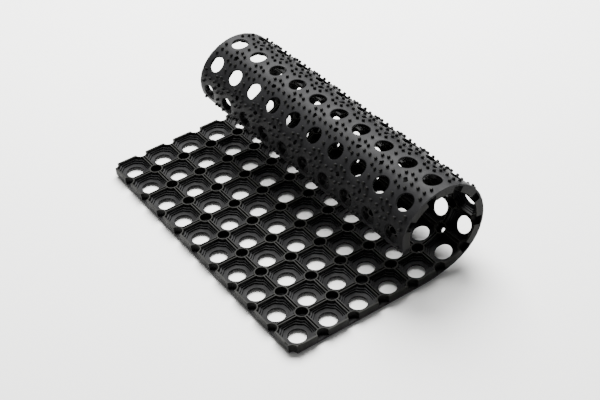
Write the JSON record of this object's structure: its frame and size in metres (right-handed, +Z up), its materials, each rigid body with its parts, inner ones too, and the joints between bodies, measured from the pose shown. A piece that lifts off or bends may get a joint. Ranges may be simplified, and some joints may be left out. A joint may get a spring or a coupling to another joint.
{
  "type": "entrance mat",
  "caption": "Black moulded rubber entrance mat of open square cells with drain wells at the crossings and a studded underside, lying flat at one end and rolled up at the other.",
  "frame": {"origin": "on the floor under the centre of the mat's bounding box", "axes": "+X along the mat from its flat end to the roll, +Y across the mat, along the roll, +Z up"},
  "size_m": [0.3264, 0.5, 0.1582],
  "materials": {
    "moulded_rubber": "moulded, dull black"
  },
  "bodies": {
    "root": {"rubber_mat": "moulded_rubber"}
  },
  "joints": []
}
